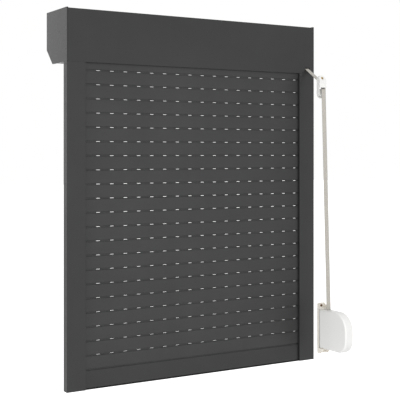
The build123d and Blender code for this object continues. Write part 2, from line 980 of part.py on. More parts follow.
def guide_hood():
    """Hood with two cheeks that carry the roller's axle, open below."""
    back = wall_y - guide_plate_thickness
    front = wall_y - guide_depth
    top = -guide_centre_drop + guide_height / 2
    low = -guide_centre_drop - guide_height / 2
    r = guide_foot_radius
    profile = make_face(
        Wire(
            [
                Line((back, top), (back - guide_top_depth, top)),
                Line((back - guide_top_depth, top), (front, top - guide_slope_drop)),
                Line((front, top - guide_slope_drop), (front, low + r)),
                RadiusArc((front, low + r), (front + r, low), -r),
                Line((front + r, low), (back, low)),
                Line((back, low), (back, top)),
            ]
        )
    )
    half = guide_width / 2
    side = extrude(Plane.YZ.offset(guide_x - half - overrun) * profile, guide_width + 2 * overrun)
    hood = stadium(front - overrun, back) & side
    inner = half - guide_wall
    slot_z = -roller_drop - roller_radius - guide_slot_drop + guide_wall
    ceiling = -guide_centre_drop + guide_window_top
    x0 = guide_x - inner
    x1 = guide_x + inner
    hood -= block(x0, x1, front + guide_wall, back + overrun, slot_z - overrun, ceiling)
    hood -= block(x0, x1, front - overrun, back + overrun, low - overrun, slot_z)
    past = half + overrun
    setback = front + guide_cheek_setback
    hood -= block(guide_x - past, guide_x + past, front - overrun, setback, low - overrun, slot_z)
    z = guide_holes()[0]
    hood -= rod_y(guide_hole_radius, front - overrun, back + overrun, guide_x, z)
    hood -= rod_y(guide_head_radius, front - overrun, wall_y - guide_head_seat, guide_x, z)
    hood -= rod_x(guide_axle_radius + fit_play, x0 - overrun, x1 + overrun, *roller_centre)
    return hood


def guide_roller():
    """Plastic roller that the strap turns over."""
    bore = guide_axle_radius + fit_play
    x0 = strap_x - roller_half_length
    x1 = strap_x + roller_half_length
    return ring_x(roller_radius, bore, x0, x1, *roller_centre)


def guide_axle():
    """Steel axle between the hood's cheeks."""
    reach = guide_width / 2 - guide_wall + overrun - fit_play
    return rod_x(guide_axle_radius, guide_x - reach, guide_x + reach, *roller_centre)


# Swivel winder: plate with two brackets, two shells, spool, spring and axle
def winder_outline(inset):
    """Side outline of the winder's body, drawn in by inset."""
    back = winder_back - inset
    front = winder_front + inset
    top = winder_top - inset
    low = winder_bottom + inset
    r = winder_corner_radius - inset
    r_low = winder_foot_radius - inset
    return make_face(
        Wire(
            [
                Line((back, low), (back, top)),
                Line((back, top), (front + r, top)),
                RadiusArc((front + r, top), (front, top - r), -r),
                Line((front, top - r), (front, low + r_low)),
                RadiusArc((front, low + r_low), (front + r_low, low), -r_low),
                Line((front + r_low, low), (back, low)),
            ]
        )
    )


def winder_plan(inset, z0, z1):
    """Top view of the winder's body, round at the back, drawn in by inset."""
    half = winder_thickness / 2 - inset
    back = winder_back - inset
    front = winder_front - overrun
    r = winder_back_radius - inset
    x0 = strap_x - half
    x1 = strap_x + half
    face = make_face(
        Wire(
            [
                Line((x0 + r, back), (x1 - r, back)),
                RadiusArc((x1 - r, back), (x1, back - r), r),
                Line((x1, back - r), (x1, front)),
                Line((x1, front), (x0, front)),
                Line((x0, front), (x0, back - r)),
                RadiusArc((x0, back - r), (x0 + r, back), r),
            ]
        )
    )
    return extrude(Plane.XY.offset(z0) * face, z1 - z0)


def winder_body(inset):
    """Winder body as one solid with a rounded rim, drawn in by inset."""
    half = winder_thickness / 2 - inset
    side = extrude(Plane.YZ.offset(strap_x - half) * winder_outline(inset), 2 * half)
    rim = [
        edge
        for face in (side.faces().sort_by(Axis.X)[0], side.faces().sort_by(Axis.X)[-1])
        for edge in face.edges()
        if edge.center().Y < winder_back - inset - sheet_gap
    ]
    side = fillet(rim, winder_edge_radius - inset)
    return side & winder_plan(inset, winder_bottom - overrun, winder_top + overrun)


def shell_screw_places():
    """Places of the three shell screws as (y, z)."""
    back = winder_back - shell_boss_back
    return (
        (back, winder_top - shell_boss_drop),
        (back, winder_bottom + shell_boss_drop),
        (winder_front + shell_boss_front, -winder_drop),
    )


def winder_shells():
    """Left and right shell."""
    body = winder_body(0)
    hollow = winder_body(winder_wall)
    full = body - hollow
    x0 = strap_x - winder_thickness / 2
    x1 = strap_x + winder_thickness / 2
    side = strap_half + strap_play + spool_flange + spool_side_play
    for sign in (-1, 1):
        near = strap_x + sign * side
        far = strap_x + sign * (winder_thickness / 2 - winder_wall / 2)
        full += rod_x(axle_boss_radius, min(near, far), max(near, far), *spool_centre)
    for y, z in shell_screw_places():
        full += rod_x(shell_boss_radius, x0 + winder_wall / 2, x1 - winder_wall / 2, y, z) & body
        full -= rod_x(shell_screw_radius + fit_play, x0 + winder_wall, x1 + overrun, y, z)
        full -= rod_x(shell_screw_head_radius + fit_play, x1 - shell_screw_head, x1 + overrun, y, z)
    axle_hole = winder_thickness / 2 - winder_wall / 2
    full -= rod_x(winder_axle_radius + fit_play, strap_x - axle_hole, strap_x + axle_hole, *spool_centre)
    for z0, z1 in pin_spans():
        full -= rod_z(swivel_pin_radius + fit_play, z0 - overrun, z1 + overrun, strap_x, swivel_y)
    mouth_y = route_depth(winder_top)
    full -= block(
        strap_x - mouth_half_width,
        strap_x + mouth_half_width,
        mouth_y - mouth_depth / 2,
        mouth_y + mouth_depth / 2,
        winder_top - 2 * winder_wall,
        winder_top + overrun,
    )
    split = sheet_gap / 2
    front = winder_front - overrun
    low = winder_bottom - overrun
    top = winder_top + overrun
    left_half = block(x0 - overrun, strap_x - split, front, wall_y, low, top)
    right_half = block(strap_x + split, x1 + overrun, front, wall_y, low, top)
    return full & left_half, full & right_half


def pin_spans():
    """Height spans of the upper and lower swivel pin."""
    upper = (winder_top - swivel_pin_reach, winder_top + bracket_play + bracket_floor)
    lower = (winder_bottom - bracket_play - bracket_floor, winder_bottom + swivel_pin_reach)
    return upper, lower


def winder_plate():
    """Wall plate with two ears and two brackets that carry the swivel pins."""
    half = winder_plate_width / 2
    front = wall_y - winder_plate_thickness
    z_mid = -winder_drop
    tall = winder_plate_height / 2
    plate = block(strap_x - half, strap_x + half, front, wall_y, z_mid - tall, z_mid + tall)
    plate = fillet(plate.edges().filter_by(Axis.Y), bracket_floor)
    reach = swivel_y - bracket_reach
    root = front + winder_plate_thickness / 2
    low = winder_top + bracket_play
    upper = [
        (root, low),
        (reach, low),
        (reach, low + bracket_floor),
        (root, low + bracket_top_rise),
    ]
    high = winder_bottom - bracket_play
    ear_low = z_mid - tall
    lower = [
        (root, high),
        (wall_y - bracket_foot_reach, high),
        (wall_y - bracket_foot_flat, ear_low + bracket_floor / 2),
        (root, ear_low + bracket_floor / 2),
    ]
    for outline in (upper, lower):
        for x0 in (strap_x - half, strap_x + half - bracket_wall):
            plate += side_prism(outline, x0, x0 + bracket_wall)
    plate += block(strap_x - half, strap_x + half, reach, root, low, low + bracket_floor)
    plate += block(strap_x - half, strap_x + half, reach, root, high - bracket_floor, high)
    for z in (z_mid - winder_hole_spacing / 2, z_mid + winder_hole_spacing / 2):
        plate -= rod_y(winder_hole_radius, front - overrun, wall_y + overrun, strap_x, z)
    for z0, z1 in pin_spans():
        plate -= rod_z(swivel_pin_radius, z0 - overrun, z1 + overrun, strap_x, swivel_y)
    return plate


def swivel_pins():
    """Pins fixed in the brackets, on which the body swings."""
    pins = [rod_z(swivel_pin_radius, z0, z1, strap_x, swivel_y) for z0, z1 in pin_spans()]
    return Compound(children=pins)


def winder_spool():
    """Spool with a drum that holds the spring."""
    inner = strap_x - strap_half - strap_play
    outer = strap_x + strap_half + strap_play
    drum_bore = spool_core_radius - spool_wall
    spool = ring_x(spool_core_radius, drum_bore, inner - spool_flange, outer, *spool_centre)
    spool += ring_x(spool_flange_radius, drum_bore, inner - spool_flange, inner, *spool_centre)
    spool += rod_x(spool_flange_radius, outer, outer + spool_flange, *spool_centre)
    spool += rod_x(spool_hub_radius, outer - spool_flange, outer + spool_flange, *spool_centre)
    bore = winder_axle_radius + fit_play
    spool -= rod_x(bore, inner - spool_flange - overrun, outer + spool_flange + overrun, *spool_centre)
    return spool


def spool_strap_coil():
    """Turns of strap on the spool."""
    turns = spiral(spool_centre, spool_first, layer_pitch, spool_half_turns, 0)
    return ribbon(turns, strap_thickness, strap_x - strap_half, strap_x + strap_half)


def winder_spring():
    """Coil spring that takes up the strap."""
    first = winder_axle_radius + body_gap + spring_thickness / 2
    turns = spiral(spool_centre, first, spring_pitch, spring_half_turns, 0)
    return ribbon(turns, spring_thickness, strap_x - spring_width / 2, strap_x + spring_width / 2)


def winder_axle():
    """Axle held by both shells."""
    reach = winder_thickness / 2 - winder_wall / 2 - fit_play
    return rod_x(winder_axle_radius, strap_x - reach, strap_x + reach, *spool_centre)


def shell_screws():
    """Screws that join the shells."""
    x1 = strap_x + winder_thickness / 2
    screws = []
    for y, z in shell_screw_places():
        head = rod_x(shell_screw_head_radius, x1 - shell_screw_head, x1, y, z)
        shank = rod_x(shell_screw_radius, strap_x - winder_thickness / 4, x1 - shell_screw_head / 2, y, z)
        screws.append(head + shank)
    return Compound(children=screws)


# Write every sub-part
right_cap = end_cap()
write(right_cap, "end_cap_right")
write(mirrored(right_cap), "end_cap_left")
write(rear_panel(), "box_rear_panel")
write(top_front_panel(), "box_top_front_panel")
write(box_cover(), "box_cover")
write(cover_screws(), "cover_screws")

right_rail = rail()
write(right_rail, "rail_right")
write(mirrored(right_rail), "rail_left")
pair = brush_pair()
write(Compound(children=pair + [mirrored(strip) for strip in pair]), "brush_seals")
plug = foot_plug()
write(Compound(children=[plug, mirrored(plug)]), "rail_foot_plugs")
funnel = inlet_funnel()
write(Compound(children=[funnel, mirrored(funnel)]), "inlet_funnels")

first_slat = slat()
for number in range(slat_count):
    write(Pos(0, 0, -number * slat_pitch) * first_slat, f"slat_{number + 1:02d}")
write(bottom_bar(), "bottom_bar")
write(bottom_seal(), "bottom_seal")
write(bar_stops(), "bar_stops")
write(bar_end_plugs(), "bar_end_plugs")

write(shaft_tube(), "shaft_tube")
write(shaft_plug(), "shaft_plug")
write(strap_pulley(), "strap_pulley")
write(pulley_strap_coil(), "pulley_strap_coil")
right_bearing = bearing()
write(Compound(children=[right_bearing, mirrored(right_bearing)]), "bearings")
holder = bearing_holder()
write(Compound(children=[holder, mirrored(holder)]), "bearing_holders")
write(suspension_springs(), "suspension_springs")

write(outlet_bush(), "strap_outlet_bush")
write(strap(), "strap")
write(guide_plate(), "guide_plate")
write(guide_hood(), "guide_hood")
write(guide_roller(), "guide_roller")
write(guide_axle(), "guide_axle")

write(winder_plate(), "winder_plate")
write(swivel_pins(), "winder_swivel_pins")
left_shell, right_shell = winder_shells()
write(left_shell, "winder_shell_left")
write(right_shell, "winder_shell_right")
write(winder_spool(), "winder_spool")
write(spool_strap_coil(), "spool_strap_coil")
write(winder_strap(), "winder_strap")
write(winder_spring(), "winder_spring")
write(winder_axle(), "winder_axle")
write(shell_screws(), "shell_screws")

print("lift of the bottom bar, mm:", round(lift, 3))
print("strap leaves the outlet at z", round(route_height(0), 2), "and slopes", round(math.degrees(head_out), 2))
print("mouth at y", round(route_depth(winder_top), 2), "spool centre", [round(v, 2) for v in spool_centre])
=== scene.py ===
import bmesh
import bpy
import math
import random
from mathutils import Matrix, Vector


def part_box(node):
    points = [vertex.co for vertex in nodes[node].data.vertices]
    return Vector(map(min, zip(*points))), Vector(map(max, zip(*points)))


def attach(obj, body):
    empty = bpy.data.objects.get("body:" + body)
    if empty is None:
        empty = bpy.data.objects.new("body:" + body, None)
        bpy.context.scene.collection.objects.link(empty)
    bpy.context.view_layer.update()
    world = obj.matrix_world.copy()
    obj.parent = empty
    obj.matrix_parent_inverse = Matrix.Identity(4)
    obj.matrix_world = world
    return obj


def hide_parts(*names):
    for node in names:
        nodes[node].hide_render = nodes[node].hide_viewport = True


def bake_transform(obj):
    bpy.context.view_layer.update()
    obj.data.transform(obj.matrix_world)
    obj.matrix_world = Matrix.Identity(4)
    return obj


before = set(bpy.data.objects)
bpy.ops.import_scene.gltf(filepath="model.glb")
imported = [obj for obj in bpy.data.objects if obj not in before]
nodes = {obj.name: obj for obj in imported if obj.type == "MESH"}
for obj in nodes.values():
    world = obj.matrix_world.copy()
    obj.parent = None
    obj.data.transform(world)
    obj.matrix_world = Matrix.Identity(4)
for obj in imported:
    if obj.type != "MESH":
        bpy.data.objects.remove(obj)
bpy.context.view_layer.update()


# Box: a cast end cap at each side and three bent aluminium sheets between them.
# All of it is sprayed with anthracite powder and baked, which leaves a fine orange peel.
# The sheets slide behind the caps' rims and the cover underneath is screwed to the caps.
def noise(tree, place, scale, detail):
    """Noise drawn on the given coordinates."""
    grain = tree.nodes.new("ShaderNodeTexNoise")
    grain.inputs["Scale"].default_value = scale
    grain.inputs["Detail"].default_value = detail
    tree.links.new(place, grain.inputs["Vector"])
    return grain


def mapped(tree, value, low, high):
    """Spread a value of zero to one over the range from low to high."""
    spread = tree.nodes.new("ShaderNodeMapRange")
    spread.inputs["To Min"].default_value = low
    spread.inputs["To Max"].default_value = high
    tree.links.new(value, spread.inputs["Value"])
    return spread


def worked_out(tree, operation, first, second):
    """Math node of two inputs, where a number is set and a socket is linked."""
    math_node = tree.nodes.new("ShaderNodeMath")
    math_node.operation = operation
    for slot, value in enumerate((first, second)):
        if isinstance(value, bpy.types.NodeSocket):
            tree.links.new(value, math_node.inputs[slot])
        else:
            math_node.inputs[slot].default_value = value
    return math_node


def bumped(tree, height, strength, distance):
    """Bump node that raises the surface by the given height."""
    bump = tree.nodes.new("ShaderNodeBump")
    bump.inputs["Strength"].default_value = strength
    bump.inputs["Distance"].default_value = distance
    tree.links.new(height, bump.inputs["Height"])
    return bump


def effect_group(name, inputs, outputs):
    """Shader group with named sockets, and the two nodes that its inner nodes are joined to."""
    tree = bpy.data.node_groups.new(name, "ShaderNodeTree")
    for way, sockets in (("INPUT", inputs), ("OUTPUT", outputs)):
        for label, kind in sockets.items():
            tree.interface.new_socket(label, in_out=way, socket_type="NodeSocket" + kind)
    return tree, tree.nodes.new("NodeGroupInput"), tree.nodes.new("NodeGroupOutput")


def effect_material(name, group, values, relief=None):
    """Material with a group's colour, roughness and relief (strength, depth), and its shader."""
    material = bpy.data.materials.new(name)
    material.use_nodes = True
    tree = material.node_tree
    shader = tree.nodes["Principled BSDF"]
    effect = tree.nodes.new("ShaderNodeGroup")
    effect.node_tree = group
    for label, value in values.items():
        effect.inputs[label].default_value = value
    tree.links.new(effect.outputs["Color"], shader.inputs["Base Color"])
    tree.links.new(effect.outputs["Roughness"], shader.inputs["Roughness"])
    if relief:
        bump = bumped(tree, effect.outputs["Height"], *relief)
        tree.links.new(bump.outputs["Normal"], shader.inputs["Normal"])
    return material, shader


def baked_coat_group():
    """Orange peel, cloudy tone and handling marks of a baked powder coat."""
    tree, given, out = effect_group(
        "baked_coat",
        {"Paint": "Color", "Peel scale": "Float", "Dull": "Float"},
        {"Color": "Color", "Roughness": "Float", "Height": "Float"},
    )
    gloss_change = 0.16
    join = tree.links.new
    place = tree.nodes.new("ShaderNodeTexCoord").outputs["Object"]
    peel = noise(tree, place, scale=1, detail=3)
    join(given.outputs["Peel scale"], peel.inputs["Scale"])
    cloud = noise(tree, place, scale=7, detail=5)
    cloud.inputs["Roughness"].default_value = 0.6
    tone = mapped(tree, cloud.outputs["Fac"], low=0.9, high=1.1)
    tone.inputs["From Min"].default_value = 0.3
    tone.inputs["From Max"].default_value = 0.7
    shade = tree.nodes.new("ShaderNodeHueSaturation")
    join(given.outputs["Paint"], shade.inputs["Color"])
    join(tone.outputs["Result"], shade.inputs["Value"])
    join(shade.outputs["Color"], out.inputs["Color"])
    marks = noise(tree, place, scale=45, detail=4)
    spread = worked_out(tree, "MULTIPLY_ADD", marks.outputs["Fac"], gloss_change)
    join(given.outputs["Dull"], spread.inputs[2])
    join(spread.outputs["Value"], out.inputs["Roughness"])
    join(peel.outputs["Fac"], out.inputs["Height"])
    return tree


def baked_paint(name, colour, dull, peel_scale, peel_height, shine=0.35):
    """A painted metal with the baked coat's grain."""
    values = {"Paint": (*colour, 1), "Peel scale": peel_scale, "Dull": dull}
    paint, shader = effect_material(name, baked_coat, values, relief=(0.35, peel_height))
    shader.inputs["Specular IOR Level"].default_value = shine
    return paint


def finish_node(name, material):
    """Give a CAD node its material."""
    nodes[name].data.materials.clear()
    nodes[name].data.materials.append(material)


def show_piece(name, shape, material, body, soft_degrees=35):
    """Make an object from a bmesh, smooth across its soft edges, and hang it on its body."""
    mesh = bpy.data.meshes.new(name)
    shape.to_mesh(mesh)
    shape.free()
    mesh.materials.append(material)
    piece = bpy.data.objects.new(name, mesh)
    bpy.context.scene.collection.objects.link(piece)
    mesh.shade_smooth()
    mesh.set_sharp_from_angle(angle=math.radians(soft_degrees))
    level = piece.modifiers.new("level_faces", "WEIGHTED_NORMAL")
    level.keep_sharp = True
    if body:
        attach(piece, body)
    return piece


def eased_copy(name, ease, material, body, steps=2):
    """A merged copy of a CAD node with its hard edges broken by a small round."""
    same_place = 0.00001
    flat_edge = math.radians(1)
    hard_edge = math.radians(40)
    shape = bmesh.new()
    shape.from_mesh(nodes[name].data)
    bmesh.ops.remove_doubles(shape, verts=shape.verts, dist=same_place)
    bmesh.ops.dissolve_limit(shape, angle_limit=flat_edge, verts=shape.verts, edges=shape.edges)
    if ease:
        folds = [edge for edge in shape.edges if edge.is_manifold]
        hard = [edge for edge in folds if edge.calc_face_angle(0) > hard_edge]
        bmesh.ops.bevel(
            shape,
            geom=hard,
            offset=ease,
            segments=steps,
            profile=0.5,
            affect="EDGES",
            clamp_overlap=True,
            material=-1,
        )
    piece = show_piece(name + "_eased", shape, material, body)
    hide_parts(name)
    return piece


baked_coat = baked_coat_group()
sheet_ease = 0.0003
cast_ease = 0.0005
box_grey = (0.0225, 0.0225, 0.0228)
cap_grey = (0.0245, 0.0245, 0.0248)
box_paint = baked_paint("box_paint", box_grey, dull=0.30, peel_scale=1100, peel_height=0.00004)
cap_paint = baked_paint("cap_paint", cap_grey, dull=0.17, peel_scale=700, peel_height=0.00006, shine=0.28)
for name in ("box_top_front_panel", "box_cover", "box_rear_panel"):
    eased_copy(name, sheet_ease, box_paint, "box")
for name in ("end_cap_left", "end_cap_right"):
    eased_copy(name, cast_ease, cap_paint, "box")


# Curtain: roll formed aluminium slats hung in each other, with a light slot row in every neck.
# The strip is enamelled before it is formed, so its grain runs along the slat.
def rolled_enamel():
    """Stoved enamel on rolled strip, with faint lines along the slat."""
    slat_grey = (0.0285, 0.0285, 0.0288)
    enamel = baked_paint("slat_enamel", slat_grey, dull=0.32, peel_scale=1500, peel_height=0.00002)
    tree = enamel.node_tree
    shader = tree.nodes["Principled BSDF"]
    place = tree.nodes.new("ShaderNodeTexCoord")
    drawn = tree.nodes.new("ShaderNodeMapping")
    drawn.inputs["Scale"].default_value = (0.6, 60, 60)
    tree.links.new(place.outputs["Object"], drawn.inputs["Vector"])
    lines = noise(tree, drawn.outputs["Vector"], scale=9, detail=3)
    ridge = bumped(tree, lines.outputs["Fac"], strength=0.2, distance=0.00003)
    tree.links.new(tree.nodes["Bump"].outputs["Normal"], ridge.inputs["Normal"])
    tree.links.new(ridge.outputs["Normal"], shader.inputs["Normal"])
    return enamel


slat_enamel = rolled_enamel()
slat_count = 22
for number in range(1, slat_count + 1):
    slat = f"slat_{number:02d}"
    eased_copy(slat, 0, slat_enamel, slat + "_body")


# Guide rails: extruded aluminium with the curtain's channel on the inner side.
# They are coated like the box and stand on the box's cast lugs.
# The closing bar at the curtain's foot is extruded too and coated with the box's powder.
rail_ease = 0.0004
rail_grey = (0.0245, 0.0245, 0.0248)
rail_paint = baked_paint("rail_paint", rail_grey, dull=0.31, peel_scale=1200, peel_height=0.00003)
for name in ("rail_left", "rail_right"):
    eased_copy(name, rail_ease, rail_paint, "box")
eased_copy("bottom_bar", 0, box_paint, "bar")


# Plastic and rubber parts of the curtain and rails: moulded black, with a fine spark grain.
# Inlet funnels, foot plugs, bar end plugs, the shaft's plug and pulley, holders and the outlet bush.
def spread_by_mask(tree, given, out, mask):
    """Spread the group's tone and roughness between their two ends by a mask."""
    tone = tree.nodes.new("ShaderNodeMix")
    tone.data_type = "RGBA"
    tree.links.new(mask, tone.inputs[0])
    tree.links.new(given.outputs["Dark tone"], tone.inputs[6])
    tree.links.new(given.outputs["Light tone"], tone.inputs[7])
    tree.links.new(tone.outputs[2], out.inputs["Color"])
    matt = mapped(tree, mask, low=0, high=1)
    tree.links.new(given.outputs["Low roughness"], matt.inputs["To Min"])
    tree.links.new(given.outputs["High roughness"], matt.inputs["To Max"])
    tree.links.new(matt.outputs["Result"], out.inputs["Roughness"])


def two_tones(dark, light, rough, uneven):
    """Values for a group's two tones and for a roughness that is uneven to both sides."""
    return {
        "Dark tone": (*dark, 1),
        "Light tone": (*light, 1),
        "Low roughness": rough - uneven,
        "High roughness": rough + uneven,
    }


two_tone_inputs = {
    "Dark tone": "Color",
    "Light tone": "Color",
    "Low roughness": "Float",
    "High roughness": "Float",
}


def tool_grain_group():
    """Grain of an eroded mould, with a slightly cloudy tone and gloss."""
    tree, given, out = effect_group(
        "tool_grain",
        {**two_tone_inputs, "Grain scale": "Float"},
        {"Color": "Color", "Roughness": "Float", "Height": "Float"},
    )
    place = tree.nodes.new("ShaderNodeTexCoord").outputs["Object"]
    grain = noise(tree, place, scale=1, detail=4)
    cloud = noise(tree, place, scale=30, detail=3)
    spread_by_mask(tree, given, out, cloud.outputs["Fac"])
    tree.links.new(given.outputs["Grain scale"], grain.inputs["Scale"])
    tree.links.new(grain.outputs["Fac"], out.inputs["Height"])
    return tree


def moulded(name, colour, rough, grain_scale, grain_height, uneven=0.05, shine=0.5):
    """Moulded plastic or rubber with an eroded tool's grain."""
    dark = [part * (1 - uneven) for part in colour]
    light = [part * (1 + uneven) for part in colour]
    values = {**two_tones(dark, light, rough, uneven), "Grain scale": grain_scale}
    plastic, shader = effect_material(name, tool_grain, values, relief=(0.4, grain_height))
    shader.inputs["Specular IOR Level"].default_value = shine
    return plastic


tool_grain = tool_grain_group()
black = (0.014, 0.014, 0.015)
rubber_black = (0.006, 0.006, 0.006)
black_plastic = moulded("black_plastic", black, rough=0.5, grain_scale=1600, grain_height=0.00006)
black_rubber = moulded(
    "black_rubber", rubber_black, rough=0.75, grain_scale=900, grain_height=0.00008, shine=0.2
)
for name in (
    "rail_foot_plugs",
    "inlet_funnels",
    "bar_end_plugs",
    "shaft_plug",
    "strap_pulley",
    "bearing_holders",
    "strap_outlet_bush",
    "winder_spool",
):
    finish_node(name, black_plastic)


# Bottom seal: a soft rubber bulb under the closing bar, hung by a head in the bar's groove.
# It is extruded in one length, with two small lips that bed on the sill.
def rubber_strip(shape, middle, size, low, high, half, corner):
    """One rounded stretch of the seal's section, run along the bar."""
    made = bmesh.ops.create_grid(shape, x_segments=1, y_segments=1, size=0.5)["verts"]
    turn = Matrix.Rotation(math.pi / 2, 3, "X")
    bmesh.ops.rotate(shape, verts=made, cent=(0, 0, 0), matrix=turn)
    bmesh.ops.rotate(shape, verts=made, cent=(0, 0, 0), matrix=Matrix.Rotation(math.pi / 2, 3, "Z"))
    bmesh.ops.scale(shape, verts=made, vec=(1, size, high - low))
    bmesh.ops.translate(shape, verts=made, vec=(-half, middle, (high + low) / 2))
    if corner:
        made = bmesh.ops.bevel(
            shape, geom=made, offset=corner, segments=5, profile=0.5, affect="VERTICES", material=-1
        )["verts"]
    face = made[0].link_faces[0]
    grown = bmesh.ops.extrude_face_region(shape, geom=[face], use_keep_orig=True)["geom"]
    moved = [item for item in grown if isinstance(item, bmesh.types.BMVert)]
    bmesh.ops.translate(shape, verts=moved, vec=(2 * half, 0, 0))


seal_low, seal_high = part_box("bottom_seal")
seal_middle = (seal_low.y + seal_high.y) / 2
seal_foot = seal_low.z
bulb_wide, bulb_top, bulb_round = 0.005, seal_foot + 0.004, 0.0016
neck_wide, neck_low, neck_top = 0.002, seal_foot + 0.0038, seal_foot + 0.0056
head_wide, head_low, head_round = 0.0044, seal_foot + 0.0053, 0.0006
lip_off, lip_wide, lip_round = 0.0017, 0.0007, 0.0002
lip_low, lip_top = seal_foot - 0.0003, seal_foot + 0.002
seal = bmesh.new()
rubber_strip(seal, seal_middle, bulb_wide, seal_foot, bulb_top, seal_high.x, bulb_round)
rubber_strip(seal, seal_middle, neck_wide, neck_low, neck_top, seal_high.x, 0)
rubber_strip(seal, seal_middle, head_wide, head_low, seal_high.z, seal_high.x, head_round)
for side in (-1, 1):
    rubber_strip(seal, seal_middle + side * lip_off, lip_wide, lip_low, lip_top, seal_high.x, lip_round)
bmesh.ops.recalc_face_normals(seal, faces=seal.faces)
seal_piece = show_piece("bottom_seal_bulb", seal, black_rubber, "bar")
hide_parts("bottom_seal")


# Stops: two rubber bumpers on the outdoor side of the bar that meet the box when the curtain is up.
# Each is moulded with a collar, a rounded nose and a blind hole for a screw.
def turned(points, centre, axis, steps):
    """Turn a profile of points about an axis into a closed round shape."""
    same_place = 0.000002
    shape = bmesh.new()
    line = [shape.verts.new(point) for point in points]
    edges = [shape.edges.new(pair) for pair in zip(line, line[1:])]
    bmesh.ops.spin(
        shape,
        geom=line + edges,
        cent=centre,
        axis=axis,
        angle=math.tau,
        steps=steps,
        use_merge=True,
    )
    bmesh.ops.remove_doubles(shape, verts=shape.verts, dist=same_place)
    bmesh.ops.recalc_face_normals(shape, faces=shape.faces)
    return shape


def bumper(x, y, z, length):
    """Rubber bumper that points outdoors from the bar at x, y, z."""
    outline = (
        (0, 0),
        (0.0078, 0),
        (0.0080, 0.0004),
        (0.0080, 0.0022),
        (0.0074, 0.0028),
        (0.0068, 0.0090),
        (0.0062, length - 0.0016),
        (0.0055, length - 0.0005),
        (0.0044, length),
        (0.0026, length),
        (0.0023, length - 0.0004),
        (0.0022, length - 0.0040),
        (0, length - 0.0040),
    )
    profile = [(x + reach, y + out, z) for reach, out in outline]
    return turned(profile, (x, y, z), (0, 1, 0), steps=40)


collar_radius = 0.008
stops = bmesh.new()
stop_low, stop_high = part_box("bar_stops")
bar_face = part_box("bottom_bar")[1].y
for x in (stop_low.x + collar_radius, stop_high.x - collar_radius):
    one = bumper(x, bar_face, (stop_low.z + stop_high.z) / 2, stop_high.y - bar_face)
    passing = bpy.data.meshes.new("bumper")
    one.to_mesh(passing)
    one.free()
    stops.from_mesh(passing)
    bpy.data.meshes.remove(passing)
stop_piece = show_piece("bar_bumpers", stops, black_rubber, "bar")
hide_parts("bar_stops")


# Brush seals: strips of dense pile in both walls of each rail's channel.
# They keep the curtain from rattling, and the pile's tips stand a little uneven.
def pile_strip(shape, x0, x1, wall_y, tip_y, z0, z1, pick, uneven_share=0.22):
    """One strip of pile that stands from the channel's wall towards the curtain."""
    made = bmesh.ops.create_grid(shape, x_segments=7, y_segments=320, size=0.5)["verts"]
    bmesh.ops.rotate(shape, verts=made, cent=(0, 0, 0), matrix=Matrix.Rotation(math.pi / 2, 3, "X"))
    bmesh.ops.scale(shape, verts=made, vec=(x1 - x0, 1, z1 - z0))
    bmesh.ops.translate(shape, verts=made, vec=((x0 + x1) / 2, tip_y, (z0 + z1) / 2))
    faces = list({face for vert in made for face in vert.link_faces})
    grown = bmesh.ops.extrude_face_region(shape, geom=faces, use_keep_orig=True)["geom"]
    rooted = [item for item in grown if isinstance(item, bmesh.types.BMVert)]
    bmesh.ops.translate(shape, verts=rooted, vec=(0, wall_y - tip_y, 0))
    for vert in made:
        vert.co.y += (wall_y - tip_y) * pick.uniform(0, uneven_share)


def brush_pile():
    """Black pile with fine bristles that stand across the strip."""
    pile_black = (0.02, 0.02, 0.021)
    pile = moulded("brush_pile", pile_black, rough=0.85, grain_scale=2600, grain_height=0.0003)
    pile.node_tree.nodes["Principled BSDF"].inputs["Sheen Weight"].default_value = 0.3
    return pile


pick = random.Random(11)
brush_low, brush_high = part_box("brush_seals")
slat_low, slat_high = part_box("slat_01")
brushes = bmesh.new()
wall_gap = 0.0014
slat_gap = 0.0003
pile_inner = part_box("rail_right")[0].x + wall_gap
for side in (-1, 1):
    x0, x1 = sorted((side * pile_inner, side * brush_high.x))
    pile_strip(brushes, x0, x1, brush_low.y, slat_low.y - slat_gap, brush_low.z, brush_high.z, pick)
    pile_strip(brushes, x0, x1, brush_high.y, slat_high.y + slat_gap, brush_low.z, brush_high.z, pick)
bmesh.ops.recalc_face_normals(brushes, faces=brushes.faces)
brush_piece = show_piece("brush_pile_strips", brushes, brush_pile(), "box")
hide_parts("brush_seals")


# Steel: the zinc plated shaft and screws, ground bearing rings and axles, and blued spring strip.
# Its tone and gloss change from grain to grain, in finer grains where it is ground.
def steel_grain_group():
    """Crystals or spangles of a bare metal, each with its own tone and gloss."""
    tree, given, out = effect_group(
        "steel_grain", {**two_tone_inputs, "Spangle scale": "Float"}, {"Color": "Color", "Roughness": "Float"}
    )
    place = tree.nodes.new("ShaderNodeTexCoord").outputs["Object"]
    spangle = tree.nodes.new("ShaderNodeTexVoronoi")
    tree.links.new(place, spangle.inputs["Vector"])
    tree.links.new(given.outputs["Spangle scale"], spangle.inputs["Scale"])
    spread_by_mask(tree, given, out, spangle.outputs["Color"])
    return tree


def bare_metal(name, colour, rough, spangle_scale, uneven=0.08):
    """Bare or plated metal whose tone and gloss change from grain to grain."""
    dark = [part * 0.85 for part in colour]
    values = {**two_tones(dark, colour, rough, uneven), "Spangle scale": spangle_scale}
    metal, shader = effect_material(name, steel_grain, values)
    shader.inputs["Metallic"].default_value = 1
    return metal


